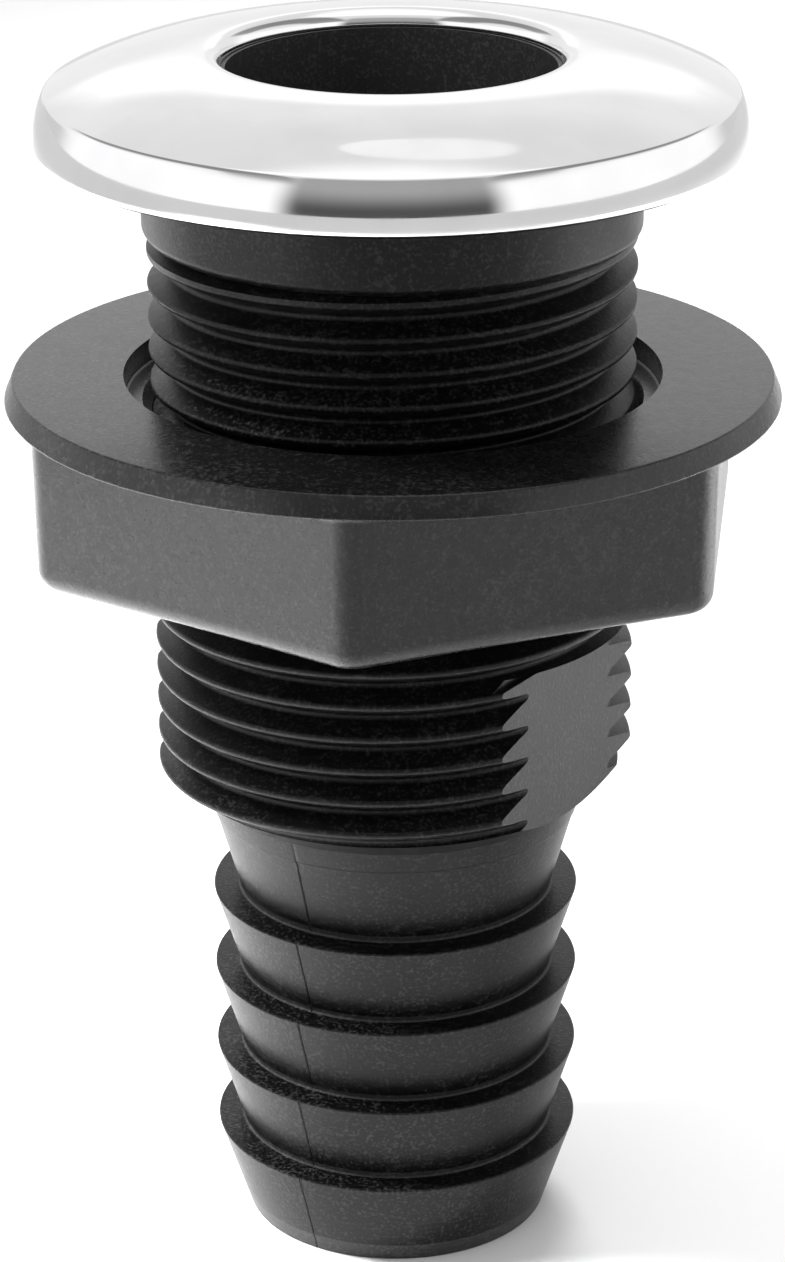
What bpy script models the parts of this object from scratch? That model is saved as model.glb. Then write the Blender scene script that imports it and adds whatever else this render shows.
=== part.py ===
"""Thru hull fitting: a barbed nylon body under a pressed steel cap, with a flanged hex lock nut.

The tail end stands on z = 0 and the fitting's axis is the Z axis. Its front faces -Y. Lengths are in metres.
"""

import math

import bmesh
import bpy
from mathutils import Matrix, Vector

MM = 0.001

# Bore, drawn in towards the tail as a moulding core needs
BORE_TAIL_DIAMETER = 17.8 * MM
BORE_HEAD_DIAMETER = 22.2 * MM

# Hose tail: the wall at its end, then steps outwards to the barb roots, the barb rims and the stem
TAIL_WALL = 1.85 * MM
TAIL_CONE_LENGTH = 6.75 * MM
BARB_COUNT = 4
BARB_SPACING = 6.13 * MM
BARB_ROOT_STEP = 0.3 * MM
BARB_DEPTH = 1.95 * MM
STEM_LENGTH = 7.65 * MM
STEM_FLARE = 2.21 * MM

# Barrel: a right-hand pipe thread round a core, coned in below, with two flats near its lower end
THREAD_DIAMETER = 33.25 * MM
THREAD_PITCH = 2.309 * MM
THREAD_DEPTH = 1.48 * MM
THREAD_HALF_ANGLE = math.radians(27.5)
THREAD_LENGTH = 38.1 * MM
THREAD_LEAD_IN = 2.4 * MM
CORE_STEP = 0.5 * MM
FLATS_DEPTH = 2.425 * MM
FLATS_LENGTH = 10.1 * MM
FLATS_HEADING = math.radians(57.0)

# Neck between the barrel and the head, and how far below it a crest of the thread passes the front
NECK_STEP = 0.3 * MM
NECK_LENGTH = 5.95 * MM
NECK_ROUND = 0.7 * MM
TOP_CREST_DROP = 0.66 * MM

# Steel cap and the head that it is pressed over
CAP_OVERHANG = 7.08 * MM
CAP_HEIGHT = 6.25 * MM
CAP_SHEET = 0.5 * MM
CAP_LIP_STEP = 0.3 * MM
CAP_LIP_FOLD = 0.6 * MM
CAP_CREASE_RISE = 3.7 * MM
CAP_CREASE_STEP = 0.75 * MM
CAP_CREASE_ROUND = 0.5 * MM
CAP_RIM_CURL = math.radians(57.0)
HEAD_EDGE_ROUND = 0.15 * MM

# Lock nut
NUT_HEIGHT = 11.9 * MM
NUT_WALL = 5.9 * MM
NUT_RECESS_STEP = 1.48 * MM
NUT_RECESS_DEPTH = 1.7 * MM
NUT_FLANGE_STEP = 0.24 * MM
NUT_FLANGE_THICKNESS = 1.55 * MM
NUT_FLANGE_DRAFT = math.radians(22.5)
NUT_FLANGE_ROUND = 0.2 * MM
HEX_SIDES = 6
HEX_DRAFT = math.radians(1.0)
HEX_CORNER_ROUND = 2.0 * MM
HEX_FOOT_ROUND = 1.6 * MM
HEX_HEADING = math.radians(-6.6)

# Hull thickness that the nut is run up to
HULL_GAP = 16.0 * MM

# Clearances
CAP_GAP = 0.3 * MM
LIP_GAP = 0.3 * MM
NUT_CLEARANCE = 0.3 * MM

# Mesh fineness, how far a cutting solid runs past the face that it cuts, how deep joined solids run in, and the
# turns of the threaded rod that are trimmed off at each end
TURN_STEPS = 48
DOME_SEGMENTS = 5
RIM_SEGMENTS = 3
LIP_SEGMENTS = 4
FOOT_SEGMENTS = 6
ROUND_SEGMENTS = 3
SHARP_ANGLE = math.radians(30.0)
MERGE_DISTANCE = 0.001 * MM
OVERCUT = 2.0 * MM
OVERLAP = 0.5 * MM
SPARE_TURNS = 2

# Finishes: colour, roughness and metallic value
BODY_NYLON = ((0.018, 0.018, 0.019), 0.45, 0.0)
NUT_NYLON = ((0.02, 0.02, 0.021), 0.48, 0.0)
POLISHED_STEEL = ((0.78, 0.78, 0.79), 0.12, 1.0)

# Heights of the faces that stack up from the tail end
TOP_BARB_HEIGHT = TAIL_CONE_LENGTH + (BARB_COUNT - 1) * BARB_SPACING
STEM_TOP_HEIGHT = TOP_BARB_HEIGHT + STEM_LENGTH
THREAD_START_HEIGHT = STEM_TOP_HEIGHT + THREAD_LEAD_IN
NECK_START_HEIGHT = THREAD_START_HEIGHT + THREAD_LENGTH
SEAT_HEIGHT = NECK_START_HEIGHT + NECK_LENGTH
NUT_TOP_HEIGHT = SEAT_HEIGHT - HULL_GAP

# Radii that follow from the sizes above, body first, then cap and nut
TAIL_RADIUS = BORE_TAIL_DIAMETER / 2 + TAIL_WALL
BARB_ROOT_RADIUS = TAIL_RADIUS + BARB_ROOT_STEP
BARB_RADIUS = BARB_ROOT_RADIUS + BARB_DEPTH
STEM_RADIUS = BARB_ROOT_RADIUS + STEM_FLARE
CORE_RADIUS = STEM_RADIUS - CORE_STEP
THREAD_RADIUS = THREAD_DIAMETER / 2
THREAD_ROOT_RADIUS = THREAD_RADIUS - THREAD_DEPTH
NECK_RADIUS = THREAD_RADIUS + NECK_STEP
CAP_RADIUS = NECK_RADIUS + CAP_OVERHANG
CAP_CURL_RADIUS = HEAD_EDGE_ROUND + CAP_GAP + CAP_SHEET
CAP_HOLE_RADIUS = BORE_HEAD_DIAMETER / 2 + CAP_LIP_STEP
CAP_LIP_RADIUS = CAP_LIP_FOLD + CAP_SHEET
NUT_BORE_RADIUS = THREAD_RADIUS + NUT_CLEARANCE
NUT_RECESS_RADIUS = NECK_RADIUS + NUT_RECESS_STEP
HEX_CORNER_RADIUS = (NUT_BORE_RADIUS + NUT_WALL) / math.cos(math.pi / HEX_SIDES)
NUT_FLANGE_RADIUS = HEX_CORNER_RADIUS + NUT_FLANGE_STEP


def arc(centre, radius, start, end, segments):
    """Points of an arc in the XZ plane, its angles counted from +X towards +Z."""
    points = []
    for step in range(segments + 1):
        angle = start + (end - start) * step / segments
        points.append((centre[0] + radius * math.cos(angle), centre[1] + radius * math.sin(angle)))
    return points


def lip_centre():
    """Centre of the lip's arc, which turns the cap's sheet down into the bore."""
    return CAP_HOLE_RADIUS + CAP_LIP_RADIUS, SEAT_HEIGHT + CAP_HEIGHT - CAP_LIP_RADIUS


def cap_lip(depth):
    """The lip from its foot in the bore up to its crest, drawn in by a depth."""
    return arc(lip_centre(), CAP_LIP_RADIUS - depth, math.pi, math.pi / 2, LIP_SEGMENTS)


def crossing(first, first_radius, second, second_radius):
    """The outer point where two circles cross, the second centre lying above and outside the first."""
    between = second - first
    along = (between.length_squared + first_radius**2 - second_radius**2) / (2 * between.length)
    aside = math.sqrt(first_radius**2 - along**2)
    direction = between.normalized()
    return first + along * direction + aside * Vector((direction.y, -direction.x))


def cap_face(depth):
    """The dome from the crest of the lip, the crease at its edge, the rim and its curl, drawn in by a depth.

    The dome leaves the crest level, the rim is upright where the cap is widest, and the curl goes on from there.
    """
    crest_x = lip_centre()[0]
    crest_z = SEAT_HEIGHT + CAP_HEIGHT
    widest_z = SEAT_HEIGHT + CAP_CURL_RADIUS * math.sin(CAP_RIM_CURL)
    reach = CAP_RADIUS - CAP_CREASE_STEP - crest_x
    drop = CAP_HEIGHT - CAP_CREASE_RISE
    rise = SEAT_HEIGHT + CAP_CREASE_RISE - widest_z
    dome_radius = (reach**2 + drop**2) / (2 * drop)
    rim_radius = (CAP_CREASE_STEP**2 + rise**2) / (2 * CAP_CREASE_STEP)
    dome_centre = Vector((crest_x, crest_z - dome_radius))
    rim_centre = Vector((CAP_RADIUS - rim_radius, widest_z))
    curl_centre = (CAP_RADIUS - CAP_CURL_RADIUS, widest_z)
    # The crease is rounded only where the sheet's offset leaves room for it
    rounding = max(CAP_CREASE_ROUND - depth, 0.0)
    crease = crossing(dome_centre, dome_radius - depth - rounding, rim_centre, rim_radius - depth - rounding)
    dome_end = math.atan2(crease.y - dome_centre.y, crease.x - dome_centre.x)
    rim_start = math.atan2(crease.y - rim_centre.y, crease.x - rim_centre.x)
    face = arc(dome_centre, dome_radius - depth, math.pi / 2, dome_end, DOME_SEGMENTS)
    if rounding > 0.0:
        face += arc(crease, rounding, dome_end, rim_start, ROUND_SEGMENTS)[1:]
    face += arc(rim_centre, rim_radius - depth, rim_start, 0.0, RIM_SEGMENTS)[1:]
    return face + arc(curl_centre, CAP_CURL_RADIUS - depth, 0.0, -CAP_RIM_CURL, RIM_SEGMENTS)[1:]


def head_profile():
    """The head's top and edge, nested under the cap, down to the flat seat."""
    face = cap_face(CAP_SHEET + CAP_GAP)
    edge_x, edge_z = face[-1]
    # Past the end of its round the edge runs on along the tangent
    seat_x = edge_x - (edge_z - SEAT_HEIGHT) * math.tan(CAP_RIM_CURL)
    return face + [(seat_x, SEAT_HEIGHT)]


def neck_profile():
    """The neck from the seat down to its rounded lower edge."""
    edge_centre = (NECK_RADIUS - NECK_ROUND, NECK_START_HEIGHT + NECK_ROUND)
    edge = arc(edge_centre, NECK_ROUND, 0.0, -math.pi / 2, ROUND_SEGMENTS)
    return [(NECK_RADIUS, SEAT_HEIGHT)] + edge


def core_profile():
    """The core that carries the thread, and the stem, whose taper runs on a little way into the thread."""
    stem_end = STEM_TOP_HEIGHT + OVERLAP
    return [
        (CORE_RADIUS, NECK_START_HEIGHT),
        (CORE_RADIUS, stem_end),
        (STEM_RADIUS + OVERLAP * STEM_FLARE / STEM_LENGTH, stem_end),
        (BARB_ROOT_RADIUS, TOP_BARB_HEIGHT),
    ]


def thread_profile():
    """One turn of the thread from a root's upper edge: flank, crest, flank and the next root."""
    flank = THREAD_DEPTH * math.tan(THREAD_HALF_ANGLE)
    land = THREAD_PITCH / 2 - flank
    return [
        (THREAD_ROOT_RADIUS, 0.0),
        (THREAD_RADIUS, flank),
        (THREAD_RADIUS, flank + land),
        (THREAD_ROOT_RADIUS, 2 * flank + land),
        (THREAD_ROOT_RADIUS, THREAD_PITCH),
    ]


def tail_profile():
    """The barbs, each a shelf above a cone, from the top one down to the tail end."""
    points = []
    for index in reversed(range(BARB_COUNT)):
        rim_height = TAIL_CONE_LENGTH + index * BARB_SPACING
        points.append((BARB_RADIUS, rim_height))
        if index > 0:
            points.append((BARB_ROOT_RADIUS, rim_height - BARB_SPACING))
    points.append((TAIL_RADIUS, 0.0))
    return points


def bore_profile():
    """The bore from the tail end up to the counterbore that takes the cap's lip."""
    shelf_height = lip_centre()[1] - LIP_GAP
    return [
        (BORE_TAIL_DIAMETER / 2, 0.0),
        (BORE_HEAD_DIAMETER / 2, shelf_height),
        (CAP_HOLE_RADIUS + CAP_SHEET + CAP_GAP, shelf_height),
    ]


def new_collection(name):
    """A collection in the scene."""
    collection = bpy.data.collections.new(name)
    bpy.context.scene.collection.children.link(collection)
    return collection


def adopt_primitive(name, collection):
    """Name the primitive that was just added and move it into a collection."""
    piece = bpy.context.object
    piece.name = name
    for owner in list(piece.users_collection):
        owner.objects.unlink(piece)
    collection.objects.link(piece)
    return piece


def drawn(name, profile, closed, collection):
    """A profile in the XZ plane as an object made of edges."""
    count = len(profile)
    edges = [(index, index + 1) for index in range(count - 1)]
    if closed:
        edges.append((count - 1, 0))
    mesh = bpy.data.meshes.new(name)
    mesh.from_pydata([(x, 0.0, z) for x, z in profile], edges, [])
    piece = bpy.data.objects.new(name, mesh)
    collection.objects.link(piece)
    return piece


def add_screw(piece, climb, turns):
    """Turn a drawn profile round the Z axis, with a climb in each turn."""
    screw = piece.modifiers.new("Turn", "SCREW")
    screw.axis = "Z"
    screw.angle = math.tau
    screw.screw_offset = climb
    screw.iterations = turns
    screw.steps = TURN_STEPS
    screw.render_steps = TURN_STEPS
    screw.use_merge_vertices = True
    screw.merge_threshold = MERGE_DISTANCE


def turned(name, profile, collection):
    """A profile in the XZ plane, turned once round the Z axis.

    A profile that starts on the axis also ends there, and any other closes on itself.
    """
    piece = drawn(name, profile, profile[0][0] > 0.0, collection)
    add_screw(piece, 0.0, 1)
    return piece


def as_tool(piece):
    """Mark an object as one that only shapes others."""
    piece.hide_render = True
    piece.display_type = "WIRE"
    return piece


def combine(piece, tool, operation):
    """Join a tool to a piece, cut it away, or keep what they share."""
    boolean = piece.modifiers.new(tool.name, "BOOLEAN")
    boolean.operation = operation
    boolean.solver = "EXACT"
    boolean.object = tool


def material(name, colour, roughness, metallic):
    """A Principled material."""
    result = bpy.data.materials.new(name)
    result.use_nodes = True
    shader = result.node_tree.nodes["Principled BSDF"]
    shader.inputs["Base Color"].default_value = (*colour, 1.0)
    shader.inputs["Roughness"].default_value = roughness
    shader.inputs["Metallic"].default_value = metallic
    return result


def settle(piece, finish):
    """Weld a piece, fix its modifiers into its mesh, shade it and give it its material."""
    weld = piece.modifiers.new("Weld", "WELD")
    weld.merge_threshold = MERGE_DISTANCE
    depsgraph = bpy.context.evaluated_depsgraph_get()
    mesh = bpy.data.meshes.new_from_object(piece.evaluated_get(depsgraph))
    piece.modifiers.clear()
    piece.data = mesh
    mesh.shade_smooth()
    mesh.set_sharp_from_angle(angle=SHARP_ANGLE)
    mesh.materials.clear()
    mesh.materials.append(finish)


def close_end(mesh, rim, height):
    """Carry an open end of the threaded rod on to a flat ring at a height."""
    grown = bmesh.ops.extrude_edge_only(mesh, edges=rim)["geom"]
    for vertex in grown:
        if isinstance(vertex, bmesh.types.BMVert):
            vertex.co = (*(vertex.co.xy.normalized() * THREAD_ROOT_RADIUS), height)


def thread_tool(collection):
    """A rod with the thread, its turns welded, that is joined to the body and runs past the barrel's ends."""
    profile = thread_profile()
    turns = math.ceil((NECK_START_HEIGHT - STEM_TOP_HEIGHT) / THREAD_PITCH) + 2 * SPARE_TURNS
    rod = drawn("thread_tool", profile, False, collection)
    add_screw(rod, THREAD_PITCH, turns)
    mesh = bmesh.new()
    mesh.from_object(rod, bpy.context.evaluated_depsgraph_get())
    bmesh.ops.remove_doubles(mesh, verts=mesh.verts, dist=MERGE_DISTANCE)
    length = (turns + 1) * THREAD_PITCH
    open_edges = [edge for edge in mesh.edges if edge.is_boundary]
    low_rim = [edge for edge in open_edges if edge.verts[0].co.z < length / 2]
    high_rim = [edge for edge in open_edges if edge.verts[0].co.z > length / 2]
    close_end(mesh, low_rim, -THREAD_PITCH)
    close_end(mesh, high_rim, length + THREAD_PITCH)
    bmesh.ops.remove_doubles(mesh, verts=mesh.verts, dist=MERGE_DISTANCE)
    bmesh.ops.holes_fill(mesh, edges=mesh.edges)
    bmesh.ops.recalc_face_normals(mesh, faces=mesh.faces)
    rod.modifiers.clear()
    mesh.to_mesh(rod.data)
    mesh.free()
    # The profile stands on +X, a quarter turn up the thread from the front
    crest_middle = (profile[1][1] + profile[2][1]) / 2
    front_crest = NECK_START_HEIGHT - TOP_CREST_DROP
    rod.location.z = front_crest + THREAD_PITCH / 4 - crest_middle - (turns - SPARE_TURNS) * THREAD_PITCH
    return as_tool(rod)


def barrel_tool(collection):
    """The ring that the threaded rod is trimmed to: coned in below, with its ends inside the stem and the neck."""
    slope = (THREAD_RADIUS - STEM_RADIUS) / THREAD_LEAD_IN
    wide = THREAD_RADIUS + OVERCUT
    top = NECK_START_HEIGHT + OVERLAP
    bottom = STEM_TOP_HEIGHT - OVERLAP / 2
    inner = CORE_RADIUS - OVERLAP
    outline = [
        (wide, top),
        (wide, STEM_TOP_HEIGHT + (wide - STEM_RADIUS) / slope),
        (STEM_RADIUS - slope * OVERLAP / 2, bottom),
        (inner, bottom),
        (inner, top),
    ]
    return as_tool(turned("barrel_tool", outline, collection))


def flat_tool(heading, collection):
    """A block that cuts one flat on the barrel, from below the thread up to a ledge."""
    bottom = STEM_TOP_HEIGHT - OVERCUT
    top = THREAD_START_HEIGHT + FLATS_LENGTH
    flat_distance = THREAD_RADIUS - FLATS_DEPTH
    size = Matrix.Diagonal((THREAD_DIAMETER, THREAD_RADIUS, top - bottom, 1.0))
    place = Matrix.Translation((0.0, -flat_distance - THREAD_RADIUS / 2, (top + bottom) / 2))
    bpy.ops.mesh.primitive_cube_add(size=1.0)
    tool = adopt_primitive("flat_tool", collection)
    tool.data.transform(place @ size)
    tool.rotation_euler.z = heading
    return as_tool(tool)


def build_hull_body(parts, tools):
    """The nylon body: head, neck, threaded barrel, stem and hose tail round one bore."""
    outline = head_profile() + neck_profile() + core_profile() + tail_profile() + bore_profile()
    body = turned("hull_body", outline, parts)
    thread = thread_tool(tools)
    combine(thread, barrel_tool(tools), "INTERSECT")
    combine(body, thread, "UNION")
    for heading in (FLATS_HEADING, FLATS_HEADING + math.pi):
        combine(body, flat_tool(heading, tools), "DIFFERENCE")
    return body


def build_steel_cap(parts):
    """The pressed cap: one sheet from the lip in the bore, over the dome and round the rim."""
    outer = cap_lip(0.0) + cap_face(0.0)[1:]
    inner = cap_lip(CAP_SHEET) + cap_face(CAP_SHEET)[1:]
    return turned("steel_cap", outer + inner[::-1], parts)


def hexagon(name, collection):
    """A drafted hexagon with rounded upright corners, its top inside the nut's flange."""
    height = NUT_HEIGHT - NUT_FLANGE_THICKNESS / 2
    foot_radius = HEX_CORNER_RADIUS - height * math.tan(HEX_DRAFT)
    bpy.ops.mesh.primitive_cone_add(
        vertices=HEX_SIDES, radius1=foot_radius, radius2=HEX_CORNER_RADIUS, depth=height
    )
    piece = adopt_primitive(name, collection)
    piece.data.transform(Matrix.Translation((0.0, 0.0, height / 2 - NUT_HEIGHT)))
    weights = piece.data.attributes.new("bevel_weight_edge", "FLOAT", "EDGE")
    for edge in piece.data.edges:
        low, high = (piece.data.vertices[index].co.z for index in edge.vertices)
        weights.data[edge.index].value = float(abs(high - low) > height / 2)
    bevel = piece.modifiers.new("Corners", "BEVEL")
    bevel.limit_method = "WEIGHT"
    bevel.offset_type = "OFFSET"
    # A round's tangent points lie back from the corner by its radius times the half angle's tangent
    bevel.width = HEX_CORNER_ROUND * math.tan(math.pi / HEX_SIDES)
    bevel.segments = ROUND_SEGMENTS
    return piece


def foot_tool(collection):
    """A drum that rounds off the lower corners of the hexagon."""
    round_centre = (HEX_CORNER_RADIUS - HEX_FOOT_ROUND, HEX_FOOT_ROUND - NUT_HEIGHT)
    foot = arc(round_centre, HEX_FOOT_ROUND, 0.0, -math.pi / 2, FOOT_SEGMENTS)
    outline = [(0.0, OVERCUT), (HEX_CORNER_RADIUS, OVERCUT)] + foot + [(0.0, -NUT_HEIGHT)]
    return as_tool(turned("foot_tool", outline, collection))


def flange_tool(collection):
    """The nut's flange, joined to the hexagon: a disc with a drafted side, widest below, and rounded rims."""
    top_radius = NUT_FLANGE_RADIUS - NUT_FLANGE_THICKNESS * math.tan(NUT_FLANGE_DRAFT)
    bpy.ops.mesh.primitive_cone_add(
        vertices=TURN_STEPS, radius1=NUT_FLANGE_RADIUS, radius2=top_radius, depth=NUT_FLANGE_THICKNESS
    )
    tool = adopt_primitive("flange_tool", collection)
    tool.data.transform(Matrix.Translation((0.0, 0.0, -NUT_FLANGE_THICKNESS / 2)))
    bevel = tool.modifiers.new("Rims", "BEVEL")
    bevel.limit_method = "ANGLE"
    bevel.angle_limit = SHARP_ANGLE
    bevel.width = NUT_FLANGE_ROUND
    bevel.segments = ROUND_SEGMENTS
    return as_tool(tool)


def bore_tool(collection):
    """The nut's bore and the recess in its top face, as one turned cutter."""
    bottom = -NUT_HEIGHT - OVERCUT
    outline = [
        (0.0, OVERCUT),
        (NUT_RECESS_RADIUS, OVERCUT),
        (NUT_RECESS_RADIUS, -NUT_RECESS_DEPTH),
        (NUT_BORE_RADIUS, -NUT_RECESS_DEPTH),
        (NUT_BORE_RADIUS, bottom),
        (0.0, bottom),
    ]
    return as_tool(turned("bore_tool", outline, collection))


def build_lock_nut(parts, tools):
    """The lock nut, its origin on the axis at its top face."""
    nut = hexagon("lock_nut", parts)
    shaping = ((foot_tool(tools), "INTERSECT"), (flange_tool(tools), "UNION"), (bore_tool(tools), "DIFFERENCE"))
    for tool, operation in shaping:
        combine(nut, tool, operation)
        tool.location.z = NUT_TOP_HEIGHT
    nut.location.z = NUT_TOP_HEIGHT
    nut.rotation_euler.z = HEX_HEADING
    return nut


def main():
    """Clear the scene and build the fitting."""
    for old in list(bpy.data.objects):
        bpy.data.objects.remove(old)
    parts = new_collection("thru_hull_fitting")
    tools = new_collection("shaping_tools")
    finishes = {
        build_hull_body(parts, tools): material("black_nylon", *BODY_NYLON),
        build_steel_cap(parts): material("polished_stainless", *POLISHED_STEEL),
        build_lock_nut(parts, tools): material("black_nylon_nut", *NUT_NYLON),
    }
    bpy.context.view_layer.update()
    for piece, finish in finishes.items():
        settle(piece, finish)


main()
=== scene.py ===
"""Looks of a thru hull fitting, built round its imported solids.

A black nylon body with a moulded pipe thread and hose barbs carries a polished steel cap, and a flanged hex
lock nut runs on the thread. Lengths are metres, +Z is up, the tail stands on z = 0 and the front faces -Y.
"""

import logging
import math
from collections.abc import Callable, Sequence
from dataclasses import dataclass
from enum import Enum

import bpy
import numpy as np
from mathutils import Matrix, Vector


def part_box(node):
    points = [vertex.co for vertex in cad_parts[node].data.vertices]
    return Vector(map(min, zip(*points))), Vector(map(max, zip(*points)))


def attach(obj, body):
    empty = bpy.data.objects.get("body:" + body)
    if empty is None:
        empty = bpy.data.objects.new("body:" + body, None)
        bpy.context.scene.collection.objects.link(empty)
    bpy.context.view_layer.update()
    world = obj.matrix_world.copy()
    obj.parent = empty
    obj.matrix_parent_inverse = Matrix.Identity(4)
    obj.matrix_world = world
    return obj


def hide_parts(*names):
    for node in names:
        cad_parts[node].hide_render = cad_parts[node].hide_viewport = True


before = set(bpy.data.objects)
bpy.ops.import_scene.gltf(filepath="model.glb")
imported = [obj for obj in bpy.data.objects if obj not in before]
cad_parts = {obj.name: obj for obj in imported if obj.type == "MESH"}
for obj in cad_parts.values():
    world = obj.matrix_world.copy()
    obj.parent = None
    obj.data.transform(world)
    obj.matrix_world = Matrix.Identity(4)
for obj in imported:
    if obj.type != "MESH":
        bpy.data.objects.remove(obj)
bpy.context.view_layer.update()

LOG = logging.getLogger("thru_hull_fitting")
MM = 0.001
SHARP_ANGLE = math.radians(19.0)

Point = tuple[float, float]
Outline = list[Point]
Corner = tuple[float, float, float]
Spot = tuple[float, float, float]
Colour = tuple[float, float, float]
Relief = Callable[[np.ndarray, np.ndarray, np.ndarray], np.ndarray]


class Join(Enum):
    """How a boolean treats the piece and the tool."""

    ADD = "UNION"
    CUT = "DIFFERENCE"
    COMMON = "INTERSECT"


class Slot(Enum):
    """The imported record's material slots."""

    BODY = "body_nylon"
    STEEL = "polished_steel"
    NUT = "nut_nylon"


class Beam(Enum):
    """How wide a lamp shines, as an angle."""

    OPEN = math.pi
    WIDE = math.radians(50.0)
    NARROW = 0.7


class Signal:
    """A node's output, with operators that add Math nodes to its graph."""

    def __init__(self, graph: "Graph", socket: bpy.types.NodeSocket) -> None:
        """Wrap a socket of a graph."""
        self.graph = graph
        self.socket = socket

    def math(self, operation: str, *others: "Signal | float") -> "Signal":
        """Put a Math node on this signal.

        Args:
            operation: The node's operation.
            others: The node's further values or links.

        Returns:
            The node's output.
        """
        return self.graph.math(operation, self, *others)

    def __add__(self, other: "Signal | float") -> "Signal":
        """Sum."""
        return self.math("ADD", other)

    def __radd__(self, other: float) -> "Signal":
        """Sum with a number on the left."""
        return self.math("ADD", other)

    def __sub__(self, other: "Signal | float") -> "Signal":
        """Difference."""
        return self.math("SUBTRACT", other)

    def __rsub__(self, other: float) -> "Signal":
        """A number less this signal."""
        return self.graph.math("SUBTRACT", other, self)

    def __mul__(self, other: "Signal | float") -> "Signal":
        """Product."""
        return self.math("MULTIPLY", other)

    def __rmul__(self, other: float) -> "Signal":
        """Product with a number on the left."""
        return self.math("MULTIPLY", other)

    def __truediv__(self, other: "Signal | float") -> "Signal":
        """Quotient."""
        return self.math("DIVIDE", other)

    def __pow__(self, power: float) -> "Signal":
        """Power."""
        return self.math("POWER", power)

    def __lt__(self, limit: "Signal | float") -> "Signal":
        """1 below a limit and 0 above it."""
        return self.math("LESS_THAN", limit)

    def step(self, low: float, high: float) -> "Signal":
        """A smooth step from 0 at low to 1 at high.

        Args:
            low: Where the step starts.
            high: Where it ends; a high below low turns the step round.

        Returns:
            The step's output.
        """
        sockets = {"Value": self, "From Min": low, "From Max": high}
        return self.graph.node("ShaderNodeMapRange", {"interpolation_type": "SMOOTHSTEP"}, sockets)


class Graph:
    """The node tree of a material or of the world."""

    def __init__(self, tree: bpy.types.NodeTree) -> None:
        """Start from an empty tree."""
        self.tree = tree
        tree.nodes.clear()

    def node(self, kind: str, settings: dict, sockets: dict, out: int | str = 0) -> Signal | None:
        """Add a node.

        Args:
            kind: The node's type.
            settings: Its properties, set first.
            sockets: Values or signals by the input's name or number.
            out: The output to return.

        Returns:
            That output, or None from a node that has none.
        """
        node = self.tree.nodes.new(kind)
        for name, value in settings.items():
            setattr(node, name, value)
        for key, value in sockets.items():
            if isinstance(value, Signal):
                self.tree.links.new(value.socket, node.inputs[key])
            else:
                node.inputs[key].default_value = value
        return Signal(self, node.outputs[out]) if node.outputs else None

    def math(self, operation: str, *values: Signal | float) -> Signal:
        """Add a Math node.

        Args:
            operation: The node's operation.
            values: Its values or links in order.

        Returns:
            The node's output.
        """
        return self.node("ShaderNodeMath", {"operation": operation}, dict(enumerate(values)))

    def axes(self, vector: Signal) -> tuple[Signal, Signal, Signal]:
        """Split a vector.

        Args:
            vector: The vector to split.

        Returns:
            Its x, y and z.
        """
        split = self.node("ShaderNodeSeparateXYZ", {}, {0: vector}).socket.node
        return tuple(Signal(self, output) for output in split.outputs)

    def noise(self, vector: Signal, size: float, detail: float = 2.0) -> Signal:
        """Add a noise texture.

        Args:
            vector: Where the noise is read.
            size: Length of its features.
            detail: Octaves.

        Returns:
            A value about 0.5.
        """
        sockets = {"Vector": vector, "Scale": 1.0 / size, "Detail": detail}
        return self.node("ShaderNodeTexNoise", {}, sockets)

    def mix(self, factor: Signal, first: Signal | Colour, second: Signal | Colour) -> Signal:
        """Mix two colours.

        Args:
            factor: 0 for the first colour and 1 for the second.
            first: A colour or a signal.
            second: Another one.

        Returns:
            The mixed colour.
        """
        ends = [end if isinstance(end, Signal) else (*end, 1.0) for end in (first, second)]
        return self.node("ShaderNodeMix", {"data_type": "RGBA"}, {0: factor, 6: ends[0], 7: ends[1]}, 2)


class MaterialGraph(Graph):
    """A new material's nodes, with its Principled shader made last."""

    def __init__(self, name: str) -> None:
        """Make a material.

        Args:
            name: Its name.
        """
        self.material = bpy.data.materials.new(name)
        self.material.use_nodes = True
        super().__init__(self.material.node_tree)

    def place(self) -> Signal:
        """Where a point lies in its piece, in metres."""
        return self.node("ShaderNodeTexCoord", {}, {}, "Object")

    def bump(self, height: Signal, distance: float, strength: float) -> Signal:
        """Add a bump.

        Args:
            height: The height to follow.
            distance: Height of a full step.
            strength: How much of it shows.

        Returns:
            The bumped normal.
        """
        sockets = {"Height": height, "Distance": distance, "Strength": strength}
        return self.node("ShaderNodeBump", {}, sockets)

    def finish(self, sockets: dict) -> bpy.types.Material:
        """Close the tree with a Principled shader.

        Args:
            sockets: Values or signals by the shader's socket names.

        Returns:
            The finished material.
        """
        shader = self.node("ShaderNodeBsdfPrincipled", {}, sockets)
        self.node("ShaderNodeOutputMaterial", {}, {"Surface": shader})
        return self.material


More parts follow.
